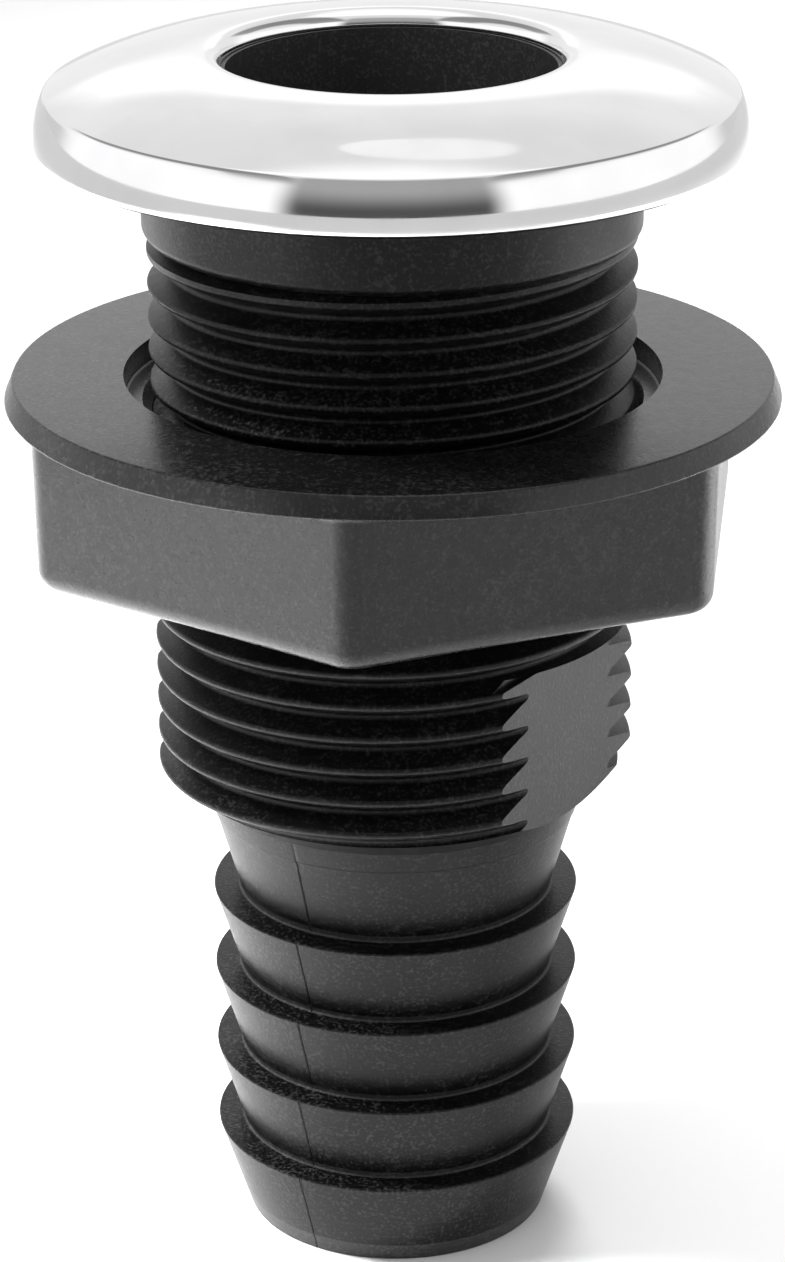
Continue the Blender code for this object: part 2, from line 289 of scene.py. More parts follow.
@dataclass(frozen=True)
class NylonFinish:
    """Black moulded nylon with a fine satin grain, and painted light: a lighter grey inside the bore."""

    name: str
    slot: Slot
    colour: Colour = (0.0015, 0.0015, 0.0016)
    bloom: Colour = (0.023, 0.023, 0.024)
    painted_bore_light: Colour = (0.05, 0.05, 0.051)
    bore_radius: float = 11.2 * MM
    roughness: float = 0.38
    roughness_spread: float = 0.12
    grain_size: float = 0.24 * MM
    grain_depth: float = 0.028 * MM
    mottle_size: float = 0.7 * MM
    grain_strength: float = 0.6
    index: float = 1.3
    flow_size: float = 6.0 * MM
    cloud_low: float = 0.48
    cloud_high: float = 0.68

    def material(self) -> bpy.types.Material:
        """Make the material.

        Returns:
            The material.
        """
        graph = MaterialGraph(self.name)
        place = graph.place()
        grain = graph.noise(place, self.grain_size, 1.0)
        mottle = graph.noise(place, self.mottle_size, 3.0)
        flow = graph.noise(place, self.flow_size, 1.0)
        cloud = (0.6 * grain + 0.25 * mottle + 0.15 * flow).step(self.cloud_low, self.cloud_high)
        x, y, _ = graph.axes(place)
        # Painted light: inside bore_radius the wall is drawn in a lighter grey, mottled by the cloud
        inside = (x * x + y * y) ** 0.5 < self.bore_radius
        skin = graph.mix(cloud, self.colour, self.bloom)
        return graph.finish({
            "Base Color": graph.mix(inside * (0.5 + 0.5 * cloud), skin, self.painted_bore_light),
            "Roughness": self.roughness + self.roughness_spread * (mottle - 0.5),
            "Normal": graph.bump(grain + 0.5 * mottle, self.grain_depth, self.grain_strength),
            "IOR": self.index,
        })


@dataclass(frozen=True)
class SteelFinish:
    """Mirror polished stainless steel with faint turning lines."""

    name: str = "mirror_stainless"
    slot: Slot = Slot.STEEL
    colour: Colour = (0.8, 0.8, 0.805)
    haze: Colour = (0.76, 0.76, 0.77)
    roughness: float = 0.05
    smear_roughness: float = 0.05
    line_roughness: float = 0.03
    line_size: float = 0.09 * MM
    line_depth: float = 0.0006 * MM
    line_strength: float = 0.5
    smear_size: float = 5.0 * MM

    def material(self) -> bpy.types.Material:
        """Make the material.

        Returns:
            The material.
        """
        graph = MaterialGraph(self.name)
        place = graph.place()
        x, y, z = graph.axes(place)
        radius = (x * x + y * y) ** 0.5
        along = graph.node("ShaderNodeCombineXYZ", {}, {0: radius, 1: 0.2 * z, 2: 0.0})
        lines = graph.noise(along, self.line_size, 2.0)
        smear = graph.noise(place, self.smear_size, 3.0).step(0.35, 0.7)
        return graph.finish({
            "Base Color": graph.mix(smear, self.colour, self.haze),
            "Metallic": 1.0,
            "Roughness": self.roughness + self.smear_roughness * smear + self.line_roughness * (lines - 0.5),
            "Normal": graph.bump(lines, self.line_depth, self.line_strength),
        })


@dataclass(frozen=True)
class FloorFinish:
    """A matt pale sheet with a faint tooth."""

    name: str = "pale_sheet"
    colour: Colour = (0.9, 0.9, 0.9)
    shade: Colour = (0.87, 0.87, 0.87)
    roughness: float = 0.9
    patch_size: float = 60.0 * MM
    tooth_size: float = 0.8 * MM

    def material(self) -> bpy.types.Material:
        """Make the material.

        Returns:
            The material.
        """
        graph = MaterialGraph(self.name)
        place = graph.place()
        patch = graph.noise(place, self.patch_size)
        tooth = graph.noise(place, self.tooth_size)
        return graph.finish({
            "Base Color": graph.mix(0.6 * patch + 0.4 * tooth, self.colour, self.shade),
            "Roughness": self.roughness,
        })


def arc(centre: Point, radius: float, start: float, end: float, segments: int) -> Outline:
    """Points along an arc.

    Args:
        centre: Its centre, as radius and height.
        radius: Its radius.
        start: First angle, counted from outwards towards up.
        end: Last angle.
        segments: Number of chords.

    Returns:
        The points, both ends included.
    """
    turns = np.linspace(start, end, segments + 1)
    return [(centre[0] + radius * math.cos(turn), centre[1] + radius * math.sin(turn)) for turn in turns]


def rounded(corners: Sequence[Corner], segments: int = 8) -> Outline:
    """An open outline whose corners are rounded.

    Args:
        corners: Radius, height and rounding of each corner; the two ends stay sharp.
        segments: Chords of one rounding.

    Returns:
        The outline.
    """
    points = [Vector(corner[:2]) for corner in corners]
    outline = [tuple(points[0])]
    for index in range(1, len(points) - 1):
        rounding = corners[index][2]
        back = (points[index - 1] - points[index]).normalized()
        onward = (points[index + 1] - points[index]).normalized()
        half = back.angle(onward) / 2
        if rounding == 0.0:
            outline.append(tuple(points[index]))
            continue
        centre = points[index] + (back + onward).normalized() * (rounding / math.sin(half))
        first = points[index] + back * (rounding / math.tan(half)) - centre
        last = points[index] + onward * (rounding / math.tan(half)) - centre
        for step in range(segments + 1):
            arm = first.slerp(last, step / segments).normalized()
            outline.append(tuple(centre + arm * rounding))
    return outline + [tuple(points[-1])]


def meeting_point(first: Vector, first_radius: float, second: Vector, second_radius: float) -> Vector:
    """The outer point where two circles cross.

    Args:
        first: Centre of a circle.
        first_radius: Its radius.
        second: Centre of the other circle, above and outside the first.
        second_radius: Its radius.

    Returns:
        The crossing.
    """
    between = second - first
    along = (between.length_squared + first_radius**2 - second_radius**2) / (2 * between.length)
    aside = math.sqrt(first_radius**2 - along**2)
    direction = between.normalized()
    return first + direction * along + Vector((direction.y, -direction.x)) * aside


def outward(angles: np.ndarray) -> tuple[np.ndarray, np.ndarray]:
    """X and Y of the outward direction at angles counted to the right of the front."""
    return np.sin(angles), -np.cos(angles)


def even_angles(columns: int) -> np.ndarray:
    """Angles of evenly spaced columns, starting at the front."""
    return np.arange(columns) * math.tau / columns


def make_piece(name: str, vertices: np.ndarray, faces: Sequence[Sequence[int]]) -> bpy.types.Object:
    """Make a mesh object in the scene.

    Args:
        name: The piece's name.
        vertices: Its points, one row each.
        faces: Its faces as numbers of points.

    Returns:
        The object.
    """
    mesh = bpy.data.meshes.new(name)
    mesh.from_pydata(vertices.reshape(-1, 3).tolist(), [], faces)
    piece = bpy.data.objects.new(name, mesh)
    bpy.context.scene.collection.objects.link(piece)
    return piece


def ring_faces(columns: int, rows: int) -> list[tuple[int, int, int, int]]:
    """Quads of a grid that closes on itself both ways.

    Args:
        columns: Points round the axis.
        rows: Points along the outline, which runs down the outer side.

    Returns:
        The faces, looking outwards.
    """
    faces = []
    for column in range(columns):
        here = column * rows
        there = (column + 1) % columns * rows
        for row in range(rows):
            below = (row + 1) % rows
            faces.append((here + row, here + below, there + below, there + row))
    return faces


def turn(name: str, outline: Outline, angles: np.ndarray, relief: Relief | None = None) -> bpy.types.Object:
    """Turn a closed outline round the axis.

    Args:
        name: The piece's name.
        outline: Radius and height of its points, running down the outer side.
        angles: The columns' angles.
        relief: Gives the change of radius at angles, radii and heights.

    Returns:
        The object.
    """
    radius, height = np.array(outline).T
    angle = angles[:, None]
    radii = np.broadcast_to(radius, (len(angles), len(radius)))
    heights = np.broadcast_to(height, radii.shape)
    if relief:
        radii = radii + relief(angle, radii, heights)
    x, y = outward(angle)
    vertices = np.stack([radii * x, radii * y, heights], axis=-1)
    return make_piece(name, vertices, ring_faces(len(angles), len(outline)))


def combine(piece: bpy.types.Object, tool: bpy.types.Object, how: Join) -> None:
    """Apply a boolean to a piece and delete the tool.

    Args:
        piece: The piece to change.
        tool: The other solid.
        how: What to do with it.
    """
    boolean = piece.modifiers.new("Shape", "BOOLEAN")
    boolean.operation = how.value
    boolean.solver = "MANIFOLD"
    boolean.object = tool
    graph = bpy.context.evaluated_depsgraph_get()
    mesh = bpy.data.meshes.new_from_object(piece.evaluated_get(graph))
    piece.modifiers.clear()
    piece.data = mesh
    bpy.data.objects.remove(tool)


def present(piece: bpy.types.Object, body: str, node: str, finish: NylonFinish | SteelFinish) -> None:
    """Shade and dress a piece, and set it in the frame in place of a CAD node.

    Args:
        piece: The piece.
        body: The CAD body that it rides on.
        node: The CAD node that it stands for.
        finish: Its finish.
    """
    mesh = piece.data
    mesh.shade_smooth()
    mesh.set_sharp_from_angle(angle=SHARP_ANGLE)
    mesh.materials.clear()
    mesh.materials.append(finish.material())
    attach(piece, body)
    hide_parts(node)
    LOG.info("%s: %d faces on %s", piece.name, len(mesh.polygons), body)


@dataclass(frozen=True)
class PartingLine:
    """The fine furrow that two mould halves leave down a moulding."""

    heading: float = math.radians(-32.0)
    half_width: float = math.radians(0.5)
    depth: float = 0.09 * MM
    waver: float = 0.45
    waver_length: float = 2.3 * MM

    def angles(self, count: int) -> np.ndarray:
        """Columns round the axis, with some at the edges and bottom of the furrows.

        Args:
            count: Even columns.

        Returns:
            The angles in order, from minus half a turn.
        """
        even = even_angles(count) - math.pi
        across = np.array([-1.0, 0.0, 1.0]) * self.half_width
        fine = np.concatenate([self.heading + across, self.heading + math.pi + across])
        apart = np.abs(even[:, None] - fine[None, :]).min(axis=1)
        return np.sort(np.concatenate([even[apart > self.half_width], fine]))

    def relief(self, angles: np.ndarray, radii: np.ndarray, heights: np.ndarray) -> np.ndarray:
        """How far the furrow changes the radius.

        Args:
            angles: Angles of the points.
            radii: Their radii, which set the shape to return.
            heights: Their heights, along which the furrow's depth wavers.

        Returns:
            The change of radius.
        """
        aside = np.abs((angles - self.heading + math.pi / 2) % math.pi - math.pi / 2)
        share = np.clip(1.0 - aside / self.half_width, 0.0, 1.0)
        depth = self.depth * (1.0 + self.waver * np.sin(math.tau * heights / self.waver_length))
        return -share * depth * np.ones_like(radii)


@dataclass(frozen=True)
class PipeThread:
    """A right-hand pipe thread with rounded crests and roots."""

    major_radius: float = 16.625 * MM
    pitch: float = 2.309 * MM
    half_angle: float = math.radians(27.5)
    round_share: float = 0.1373
    depth_share: float = 0.6403
    front_crest: float = 72.63 * MM
    round_rows: int = 6

    def sunk(self, offset: np.ndarray) -> np.ndarray:
        """Depth of the thread's flank below its crest.

        Args:
            offset: Distance along the axis from the nearest crest.

        Returns:
            The depth.
        """
        rounding = self.round_share * self.pitch
        depth = self.depth_share * self.pitch
        tangent = rounding * math.cos(self.half_angle)
        start = rounding * (1.0 - math.sin(self.half_angle))
        crest = rounding - np.sqrt(np.clip(rounding**2 - offset**2, 0.0, None))
        flank = start + (offset - tangent) / math.tan(self.half_angle)
        rest = self.pitch / 2 - offset
        root = depth - rounding + np.sqrt(np.clip(rounding**2 - rest**2, 0.0, None))
        return np.where(offset < tangent, crest, np.where(rest < tangent, root, flank))

    def turns(self, angles: np.ndarray, heights: np.ndarray) -> np.ndarray:
        """Turns up the thread from the crest that passes the front at its named height."""
        return (heights - self.front_crest) / self.pitch - angles / math.tau

    def radius(self, angles: np.ndarray, heights: np.ndarray) -> np.ndarray:
        """Radius of the thread.

        Args:
            angles: Angles of the points.
            heights: Their heights.

        Returns:
            Their radii.
        """
        turns = self.turns(angles, heights)
        return self.major_radius - self.sunk(np.abs(turns - np.round(turns)) * self.pitch)

    def root_radius(self) -> float:
        """Radius at the bottom of the thread's roots."""
        return self.major_radius - self.depth_share * self.pitch

    def rows(self) -> np.ndarray:
        """Rows of one turn of the thread.

        Returns:
            Their offsets from a crest up towards the next.
        """
        tangent = self.round_share * self.pitch * math.cos(self.half_angle)
        rise = np.linspace(0.0, tangent, self.round_rows + 1)
        half = np.concatenate([rise, self.pitch / 2 - rise[::-1]])
        return np.concatenate([half, self.pitch - half[-2:0:-1]])


def threaded_rod(
    name: str,
    thread: PipeThread,
    span: Point,
    angles: np.ndarray,
    hollow: float,
    radius: Callable[[np.ndarray, np.ndarray], np.ndarray],
) -> bpy.types.Object:
    """A tube whose outside is a helical thread.

    Its rows climb with the helix, and those past an end of the span are drawn in to that end's ring.

    Args:
        name: The piece's name.
        thread: The thread that the rows follow.
        span: Heights of the tube's ends.
        angles: The columns' angles, from minus half a turn up.
        hollow: Radius inside the tube.
        radius: Gives the outside radius at angles and heights.

    Returns:
        The object.
    """
    low, high = span
    rows = thread.rows()
    first = math.floor((low - thread.front_crest) / thread.pitch) - 1
    last = math.ceil((high - thread.front_crest) / thread.pitch) + 1
    offsets = np.concatenate([rows + turn_number * thread.pitch for turn_number in range(first, last + 1)])
    raw = thread.front_crest + offsets[None, :] + thread.pitch * angles[:, None] / math.tau
    heights = np.clip(raw, low, high)
    radii = radius(angles[:, None], heights)
    x, y = outward(angles[:, None])
    outer = np.stack([radii * x, radii * y, heights], axis=-1)
    columns, count = raw.shape
    ring = np.stack([hollow * x[:, 0], hollow * y[:, 0]], axis=-1)
    inner = np.stack([np.insert(ring, 2, end, axis=1) for end in span], axis=1)
    lowest = (raw <= low).sum(axis=1) - 1
    highest = count - (raw >= high).sum(axis=1)
    faces = []
    for column in range(columns):
        following = (column + 1) % columns
        shift = len(rows) if following == 0 else 0
        steps = np.arange(lowest.min() - 1, highest.max() + 1)
        here = column * count + np.clip(steps, lowest[column], highest[column])
        there = following * count + np.clip(steps + shift, lowest[following], highest[following])
        for quad in zip(here[:-1], there[:-1], there[1:], here[1:]):
            corners = tuple(dict.fromkeys(int(corner) for corner in quad))
            if len(corners) > 2:
                faces.append(corners)
        near, far = (columns * count + 2 * index for index in (column, following))
        faces.append((int(here[-1]), int(there[-1]), far + 1, near + 1))
        faces.append((near + 1, far + 1, far, near))
        faces.append((near, far, int(there[0]), int(here[0])))
    piece = make_piece(name, np.concatenate([outer.reshape(-1, 3), inner.reshape(-1, 3)]), faces)
    drop_loose_points(piece)
    return piece


def drop_loose_points(piece: bpy.types.Object) -> None:
    """Delete the points of a mesh that no face uses.

    Args:
        piece: The piece whose mesh is cleaned.
    """
    mesh = piece.data
    used = np.zeros(len(mesh.vertices), bool)
    used[[index for polygon in mesh.polygons for index in polygon.vertices]] = True
    place = np.cumsum(used) - 1
    vertices = np.array([vertex.co for vertex, kept in zip(mesh.vertices, used) if kept])
    faces = [tuple(int(place[index]) for index in polygon.vertices) for polygon in mesh.polygons]
    mesh.clear_geometry()
    mesh.from_pydata(vertices.tolist(), [], faces)


@dataclass
class SteelCap:
    """The pressed cap: a lip rolled into the bore, a low dome and a rim curled under the head."""

    radius: float
    seat: float
    top: float
    sheet: float = 0.5 * MM
    hole_radius: float = 11.4 * MM
    lip_radius: float = 1.1 * MM
    crease_step: float = 0.75 * MM
    crease_rise: float = 3.7 * MM
    crease_round: float = 0.5 * MM
    curl_radius: float = 0.6 * MM
    rim_curl: float = math.radians(57.0)
    lip_steps: int = 16
    columns: int = 288

    @classmethod
    def from_frame(cls) -> "SteelCap":
        """The cap at the place and size of its CAD node."""
        low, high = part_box("steel_cap")
        return cls(radius=high.x, seat=low.z, top=high.z)

    def lip_centre(self) -> Point:
        """Centre of the lip's arc."""
        return self.hole_radius + self.lip_radius, self.top - self.lip_radius

    def face(self, depth: float, dome_steps: int = 28, rim_steps: int = 12) -> Outline:
        """The dome from the lip's crest, the crease at its edge and the rim, drawn in by a depth.

        Args:
            depth: How far inside the outer face.
            dome_steps: Chords of the dome.
            rim_steps: Chords of each of the rim's arcs.

        Returns:
            The outline, running outwards and down.
        """
        crest = self.lip_centre()[0]
        widest = self.seat + self.curl_radius * math.sin(self.rim_curl)
        rise = self.seat + self.crease_rise - widest
        drop = self.top - self.seat - self.crease_rise
        reach = self.radius - self.crease_step - crest
        dome_radius = (reach**2 + drop**2) / (2 * drop)
        rim_radius = (self.crease_step**2 + rise**2) / (2 * self.crease_step)
        dome = Vector((crest, self.top - dome_radius))
        rim = Vector((self.radius - rim_radius, widest))
        rounding = max(self.crease_round - depth, 0.0)
        crease = meeting_point(dome, dome_radius - depth - rounding, rim, rim_radius - depth - rounding)
        shoulder = math.atan2(*(crease - dome).yx)
        edge = math.atan2(*(crease - rim).yx)
        curl = (self.radius - self.curl_radius, widest)
        face = arc(dome, dome_radius - depth, math.pi / 2, shoulder, dome_steps)
        if rounding > 0.0:
            face += arc(crease, rounding, shoulder, edge, rim_steps)[1:]
        face += arc(rim, rim_radius - depth, edge, 0.0, rim_steps)[1:]
        return face + arc(curl, self.curl_radius - depth, 0.0, -self.rim_curl, rim_steps)[1:]

    def build(self) -> bpy.types.Object:
        """Build and dress the cap.

        Returns:
            The piece.
        """
        centre = self.lip_centre()
        outer_lip = arc(centre, self.lip_radius, math.pi, math.pi / 2, self.lip_steps)
        inner_lip = arc(centre, self.lip_radius - self.sheet, math.pi, math.pi / 2, self.lip_steps)
        outer = outer_lip[:-1] + self.face(0.0)
        inner = inner_lip[:-1] + self.face(self.sheet)
        piece = turn("pressed_steel_cap", outer + inner[::-1], even_angles(self.columns))
        present(piece, "fitting", "steel_cap", SteelFinish())
        return piece


@dataclass
class HullBody:
    """The nylon body: head, neck, threaded barrel with two flats, stem and barbed hose tail."""

    cap: SteelCap
    thread: PipeThread
    parting: PartingLine = PartingLine()
    cap_gap: float = 0.05 * MM
    neck_radius: float = 16.925 * MM
    neck_start: float = 73.29 * MM
    neck_round: float = 0.7 * MM
    core_radius: float = 13.3 * MM
    thread_start: float = 35.19 * MM
    stem_top: float = 32.79 * MM
    stem_radius: float = 13.26 * MM
    collar_height: float = 31.3 * MM
    collar_step: float = 0.1 * MM
    barb_count: int = 4
    barb_spacing: float = 6.13 * MM
    barb_radius: float = 13.0 * MM
    barb_root_radius: float = 11.05 * MM
    barb_edge: float = 0.14 * MM
    barb_fillet: float = 0.2 * MM
    tail_cone: float = 6.75 * MM
    tail_radius: float = 10.75 * MM
    tail_bore: float = 8.9 * MM
    head_bore: float = 11.1 * MM
    edge_round: float = 0.18 * MM
    flat_heading: float = math.radians(57.0)
    flat_distance: float = 14.2 * MM
    flat_top: float = 45.3 * MM
    undercut_height: float = 0.5 * MM
    undercut_depth: float = 0.5 * MM
    runout_start: float = math.radians(-110.0)
    runout_end: float = math.radians(150.0)
    barrel_wall: float = 1.0 * MM
    stem_overlap: float = 0.5 * MM
    neck_overlap: float = 0.45 * MM
    cutter_reach: float = 2.0 * MM
    cutter_lap: float = 0.01 * MM
    columns: int = 240

    def head_outline(self) -> Outline:
        """The head under the cap and its flat seat.

        Returns:
            The outline, running outwards and down.
        """
        face = self.cap.face(self.cap.sheet + self.cap_gap, dome_steps=8, rim_steps=4)
        edge_x, edge_z = face[-1]
        return face + [(edge_x - (edge_z - self.cap.seat) * math.tan(self.cap.rim_curl), self.cap.seat)]

    def side_outline(self) -> Outline:
        """Neck, core, stem and tail, from the seat down to the tail's end.

        Returns:
            The outline.
        """
        top_barb = self.tail_cone + (self.barb_count - 1) * self.barb_spacing
        slope = (self.stem_radius - self.barb_root_radius) / (self.stem_top - top_barb)
        collar = self.barb_root_radius + slope * (self.collar_height - top_barb)
        corners = [
            (self.cap.radius, self.cap.seat, 0.0),
            (self.neck_radius, self.cap.seat, self.edge_round),
            (self.neck_radius, self.neck_start, self.neck_round),
            (self.core_radius, self.neck_start, 0.0),
            (self.core_radius, self.stem_top, 0.0),
            (self.stem_radius, self.stem_top, 0.0),
            (collar + self.collar_step / 2, self.collar_height, self.edge_round / 3),
            (collar - self.collar_step / 2, self.collar_height - self.collar_step, self.edge_round / 3),
        ]
        for index in reversed(range(self.barb_count)):
            rim = self.tail_cone + index * self.barb_spacing
            corners.append((self.barb_root_radius, rim, self.barb_fillet))
            corners.append((self.barb_radius, rim, self.barb_edge))
        corners.append((self.tail_radius, 0.0, self.edge_round))
        corners.append((self.tail_bore, 0.0, self.edge_round))
        corners.append((self.head_bore, self.cap.top, 0.0))
        return rounded(corners)[1:-1]

    def bore_outline(self) -> Outline:
        """The top of the bore and the shelf under the cap's lip.

        Returns:
            The outline, running outwards.
        """
        lip_x, lip_z = self.cap.lip_centre()
        shelf = lip_z - self.cap_gap
        edge = lip_x - self.cap.lip_radius + self.cap.sheet + self.cap_gap
        return [(self.head_bore, shelf), (edge, shelf)]

    def tail_relief(self, angles: np.ndarray, radii: np.ndarray, heights: np.ndarray) -> np.ndarray:
        """The parting line's furrow on the outside of the stem and tail.

        Args:
            angles: Angles of the points.
            radii: Their radii.
            heights: Their heights.

        Returns:
            The change of radius.
        """
        outside = (radii > (self.tail_radius + self.tail_bore) / 2) & (heights < self.stem_top)
        return np.where(outside, self.parting.relief(angles, radii, heights), 0.0)

    def thread_radius(self, angles: np.ndarray, heights: np.ndarray) -> np.ndarray:
        """The thread with its top groove running out into the neck.

        Args:
            angles: Angles of the points.
            heights: Their heights.

        Returns:
            Their radii.
        """
        turns = self.thread.turns(angles, heights)
        run = np.clip((angles - self.runout_start) / (self.runout_end - self.runout_start), 0.0, 1.0)
        run = np.where(turns <= 0.0, 0.0, np.where(turns >= 1.0, 1.0, run))
        lift = run * self.thread.depth_share * self.thread.pitch
        return np.minimum(self.thread.radius(angles, heights) + lift, self.thread.major_radius)

    def lead_in(self) -> bpy.types.Object:
        """The solid that cones off the thread's lower end.

        Returns:
            The solid.
        """
        wide = self.thread.major_radius + self.cutter_reach
        slope = (self.thread.major_radius - self.stem_radius) / (self.thread_start - self.stem_top)
        outline = [
            (wide, self.neck_start + self.neck_round),
            (wide, self.stem_top + (wide - self.stem_radius) / slope),
            (self.stem_radius, self.stem_top),
            (self.core_radius / 2, self.stem_top),
            (self.core_radius / 2, self.neck_start + self.neck_round),
        ]
        return turn("lead_in", outline, even_angles(self.columns))

    def flat_cutter(self, heading: float, distance: float, low: float, high: float) -> bpy.types.Object:
        """A block that cuts the barrel back to a plane.

        Args:
            heading: Where the plane faces.
            distance: How far it is from the axis.
            low: Height of the block's underside.
            high: Height of its top.

        Returns:
            The block.
        """
        reach = self.thread.major_radius
        bpy.ops.mesh.primitive_cube_add(size=1.0)
        block = bpy.context.object
        size = Matrix.Diagonal((3 * reach, reach, high - low, 1.0))
        place = Matrix.Translation((0.0, -distance - reach / 2, (high + low) / 2))
        block.data.transform(Matrix.Rotation(heading, 4, "Z") @ place @ size)
        return block

    def build(self) -> bpy.types.Object:
        """Build and dress the body.

        Returns:
            The piece.
        """
        angles = self.parting.angles(self.columns)
        span = (self.stem_top - self.stem_overlap, self.neck_start + self.neck_overlap)
        hollow = self.core_radius - self.barrel_wall
        barrel = threaded_rod("barrel", self.thread, span, angles, hollow, self.thread_radius)
        combine(barrel, self.lead_in(), Join.COMMON)
        flat_low = self.stem_top - self.cutter_reach
        undercut_low = self.flat_top - self.cutter_lap
        undercut_top = self.flat_top + self.undercut_height
        undercut_distance = self.flat_distance - self.undercut_depth
        for heading in (self.flat_heading, self.flat_heading + math.pi):
            flat = self.flat_cutter(heading, self.flat_distance, flat_low, self.flat_top)
            combine(barrel, flat, Join.CUT)
            undercut = self.flat_cutter(heading, undercut_distance, undercut_low, undercut_top)
            combine(barrel, undercut, Join.CUT)
        outline = self.head_outline() + self.side_outline() + self.bore_outline()
        body = turn("moulded_nylon_body", outline, angles, self.tail_relief)
        combine(body, barrel, Join.ADD)
        present(body, "fitting", "hull_body", NylonFinish("satin_black_nylon", Slot.BODY))
        return body


@dataclass
class LockNut:
    """The lock nut: a drafted hexagon under a round flange, with a recess and an inner thread."""

    thread: PipeThread
    top: float
    height: float
    flange_radius: float
    flange_thickness: float = 1.55 * MM
    flange_draft: float = math.radians(22.5)
    flange_top_round: float = 0.2 * MM
    flange_low_round: float = 0.12 * MM
    flat_radius: float = 22.825 * MM
    draft: float = math.radians(1.0)
    corner_round: float = 2.0 * MM
    fillet: float = 0.5 * MM
    foot_round: float = 1.5 * MM
    foot_drop: float = 0.4 * MM
    heading: float = math.radians(-6.6)
    recess_radius: float = 18.4 * MM
    recess_depth: float = 1.7 * MM
    recess_fillet: float = 0.25 * MM
    thread_clearance: float = 0.2 * MM
    countersink: float = 17.15 * MM
    blank_bore: float = 13.0 * MM
    fillet_share: float = 0.9
    least_fillet: float = 0.02 * MM
    cutter_reach: float = 1.0 * MM
    tap_reach: float = 2.0 * MM
    sides: int = 6
    flat_steps: int = 22
    corner_steps: int = 12
    fillet_rows: int = 7
    foot_rows: int = 13
    bore_columns: int = 240

    @classmethod
    def from_frame(cls, thread: PipeThread) -> "LockNut":
        """The nut at the place and size of its CAD node.

        Args:
            thread: The thread that it runs on.

        Returns:
            The nut.
        """
        low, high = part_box("lock_nut")
        return cls(thread=thread, top=high.z, height=high.z - low.z + cls.foot_drop, flange_radius=high.x)

    def corner_spread(self) -> float:
        """Half the angle that a corner's rounding takes up.

        Returns:
            The angle from a corner to where its rounding meets the flat.
        """
        half = math.pi / self.sides
        arm = (self.flat_radius - self.corner_round) / math.cos(half)
        return math.atan2(self.corner_round * math.sin(half), arm + self.corner_round * math.cos(half))

    def angles(self) -> np.ndarray:
        """Columns round the nut, closer at the corners.

        Returns:
            The angles in order.
        """
        spread = self.corner_spread()
        corner = np.linspace(-spread, spread, self.corner_steps + 1)
        flat = np.linspace(spread, math.tau / self.sides - spread, self.flat_steps + 1)[1:-1]
        side = np.concatenate([corner, flat])
        return np.concatenate([side + self.heading + start for start in even_angles(self.sides)])

    def wall(self, angles: np.ndarray, drop: np.ndarray) -> np.ndarray:
        """Radius of the hexagon.

        Args:
            angles: Angles round the nut.
            drop: Depths below its top face.

        Returns:
            The radius at each, rounded at the corners and drawn in by the draft.
        """
        half = math.pi / self.sides
        aside = (angles - self.heading + half) % (2 * half) - half
        flat = self.flat_radius - drop * math.tan(self.draft)
        arm = (flat - self.corner_round) / math.cos(half)
        root = np.sqrt(np.clip(self.corner_round**2 - (arm * np.sin(aside)) ** 2, 0.0, None))
        corner = arm * np.cos(aside) + root
        return np.where(np.abs(aside) < self.corner_spread(), corner, flat / np.cos(half - np.abs(aside)))

    def foot(self, angles: np.ndarray, rise: np.ndarray) -> np.ndarray:
        """Radius of the hexagon's foot, with its lower edge rounded under.

        Args:
            angles: Angles round the nut.
            rise: Heights above its bottom face.

        Returns:
            The radius at each.
        """
        under = np.clip(1.0 - rise / self.foot_round, 0.0, 1.0)
        tuck = self.foot_round * (1.0 - np.sqrt(1.0 - under**2))
        return self.wall(angles, self.height - rise) - tuck

    def flange_rim(self) -> Outline:
        """The flange's drafted edge, from its top face down to its underside.

        Returns:
            Radius and height of its points, counted from the axis and the top face.
        """
        half = (math.pi / 2 - self.flange_draft) / 2
        sharp = self.flange_radius + self.flange_low_round * (1.0 / math.tan(half) - 1.0)
        corners = [
            (self.blank_bore, 0.0, 0.0),
            (sharp - self.flange_thickness * math.tan(self.flange_draft), 0.0, self.flange_top_round),
            (sharp, -self.flange_thickness, self.flange_low_round),
            (self.blank_bore, -self.flange_thickness, 0.0),
        ]
        return rounded(corners)[1:-1]

    def rows(self, angles: np.ndarray) -> list[tuple[np.ndarray, np.ndarray]]:
        """The blank's rows, from its inner top edge out, down and back to its inner bottom edge.

        Args:
            angles: Angles of the columns.

        Returns:
            Radius and drop of each row at every column.
        """
        ones = np.ones_like(angles)
        rows = [(self.blank_bore * ones, 0.0 * ones)]
        rim = self.flange_rim()
        rows += [(radius * ones, -height * ones) for radius, height in rim]
        wall = self.wall(angles, self.flange_thickness)
        room = rim[-1][0] - wall
        fillet = np.clip(self.fillet_share * room, self.least_fillet, self.fillet)
        for turn_angle in np.linspace(0.0, math.pi / 2, self.fillet_rows):
            drop = self.flange_thickness + fillet * (1.0 - math.cos(turn_angle))
            rows.append((self.wall(angles, drop) + fillet * (1.0 - math.sin(turn_angle)), drop))
        rises = self.foot_round * (1.0 - np.sin(np.linspace(0.0, math.pi / 2, self.foot_rows)))
        rows += [(self.foot(angles, rise * ones), (self.height - rise) * ones) for rise in rises]
        rows.append((self.blank_bore * ones, self.height * ones))
        return rows

    def blank(self) -> bpy.types.Object:
        """The nut before its thread and recess are cut.

        Returns:
            The solid.
        """
        angles = self.angles()
        radii, drops = (np.stack(part, axis=1) for part in zip(*self.rows(angles)))
        x, y = outward(angles[:, None])
        vertices = np.stack([radii * x, radii * y, self.top - drops], axis=-1)
        return make_piece("moulded_lock_nut", vertices, ring_faces(*radii.shape))

